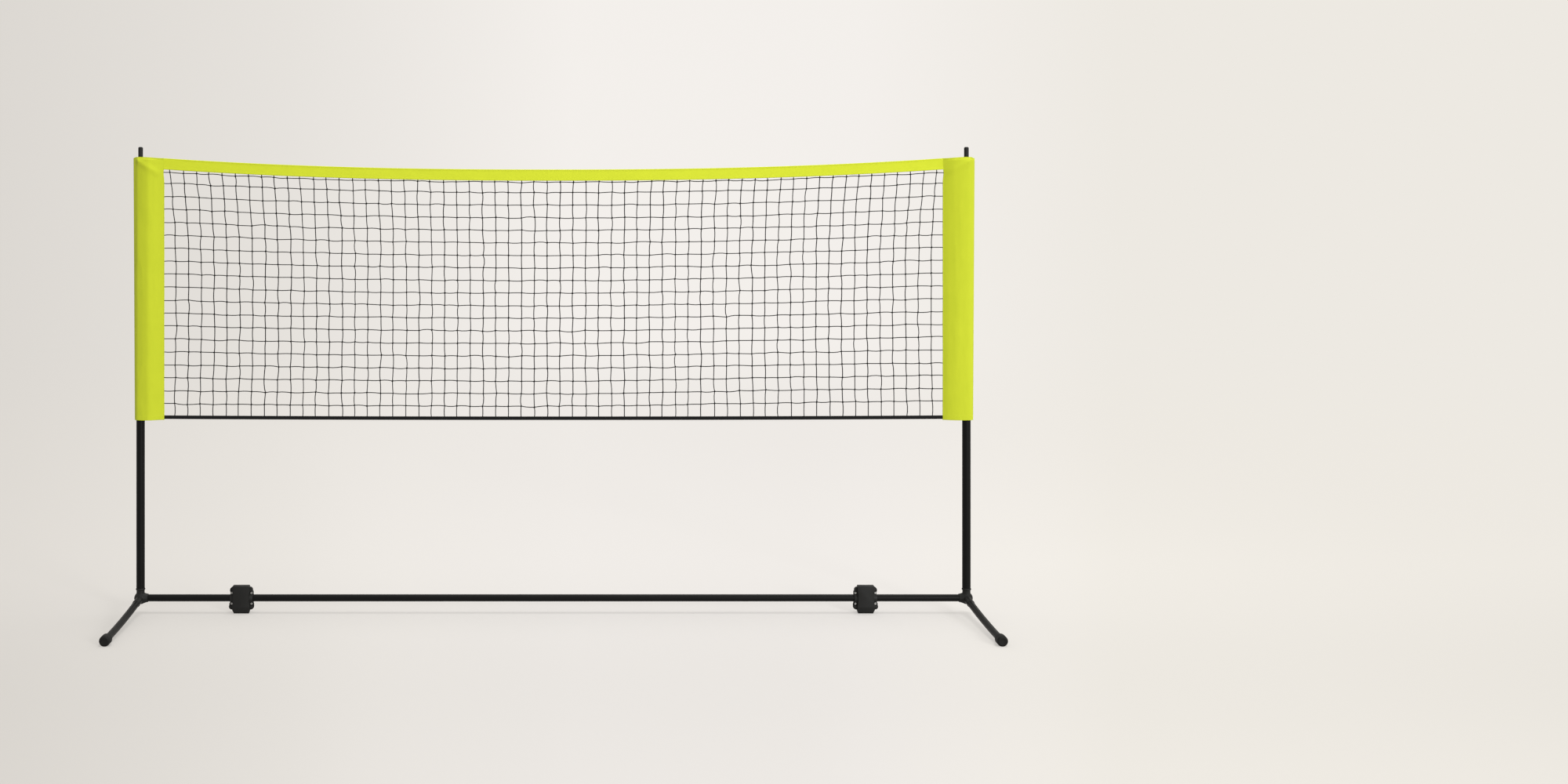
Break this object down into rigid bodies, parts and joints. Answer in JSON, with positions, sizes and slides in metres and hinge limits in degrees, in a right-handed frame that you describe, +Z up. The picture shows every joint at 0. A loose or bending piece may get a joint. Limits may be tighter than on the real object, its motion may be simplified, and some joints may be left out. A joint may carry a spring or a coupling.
{
  "type": "volleyball net on poles",
  "caption": "Free-standing volleyball net: cord net with lime tape between two cloth-sleeved telescopic poles, on a low base tube with curved front legs and clamp feet.",
  "frame": {"origin": "on the floor, at the centre of the footprint, midway between the poles", "axes": "+X along the net to the right as seen from the legs, +Y to the back, away from the legs, +Z up"},
  "size_m": [3.045, 0.4874, 1.6918],
  "materials": {
    "black_tube": "satin black powder coat on round steel tube",
    "leg_tube": "satin dark grey powder coat on round steel tube",
    "moulded_black": "fine-grained black moulding",
    "inner_plastic": "plain moulding, not seen in use",
    "cap_rubber": "dull black rubber",
    "zinc_steel": "bright zinc plating",
    "lime_cloth": "lime-yellow woven polyester",
    "lime_tape": "lime-yellow coated tape",
    "black_tape": "black woven tape",
    "net_cord": "black twisted cord"
  },
  "bodies": {
    "stand": {"base_tube_left": "black_tube", "base_tube_middle": "black_tube", "base_tube_right": "black_tube", "corner_left": "moulded_black", "corner_right": "moulded_black", "leg_left": "leg_tube", "leg_right": "leg_tube", "foot_cap_left": "cap_rubber", "foot_cap_right": "cap_rubber", "clamp_front_left": "moulded_black", "clamp_front_right": "moulded_black", "clamp_rear_left": "moulded_black", "clamp_rear_right": "moulded_black", "clamp_bolts_left": "zinc_steel", "clamp_bolts_right": "zinc_steel", "clamp_nuts_left": "zinc_steel", "clamp_nuts_right": "zinc_steel", "lower_pole_left": "black_tube", "lower_pole_right": "black_tube", "pole_guide_left": "inner_plastic", "pole_guide_right": "inner_plastic"},
    "net_set": {"sleeve_left": "lime_cloth", "sleeve_right": "lime_cloth", "top_tape": "lime_tape", "bottom_tape": "black_tape", "net_mesh": "net_cord", "lock_expander_left": "inner_plastic", "lock_expander_right": "inner_plastic"},
    "pole_set_left": {"upper_pole_left": "black_tube", "pole_tip_left": "moulded_black", "lock_cone_left": "inner_plastic"},
    "pole_set_right": {"upper_pole_right": "black_tube", "pole_tip_right": "moulded_black", "lock_cone_right": "inner_plastic"}
  },
  "joints": [
    {"name": "net_height", "type": "slide", "parent": "stand", "child": "net_set", "axis": [0, 0, 1], "range_m": [-0.5, 0]},
    {"name": "left_pole_twist", "type": "hinge", "parent": "net_set", "child": "pole_set_left", "pos_m": [-1.5, 0.20569, 1.4], "axis": [0, 0, 1], "range_deg": [0, 180]},
    {"name": "right_pole_twist", "type": "hinge", "parent": "net_set", "child": "pole_set_right", "pos_m": [1.5, 0.20569, 1.4], "axis": [0, 0, 1], "range_deg": [0, 180]}
  ]
}
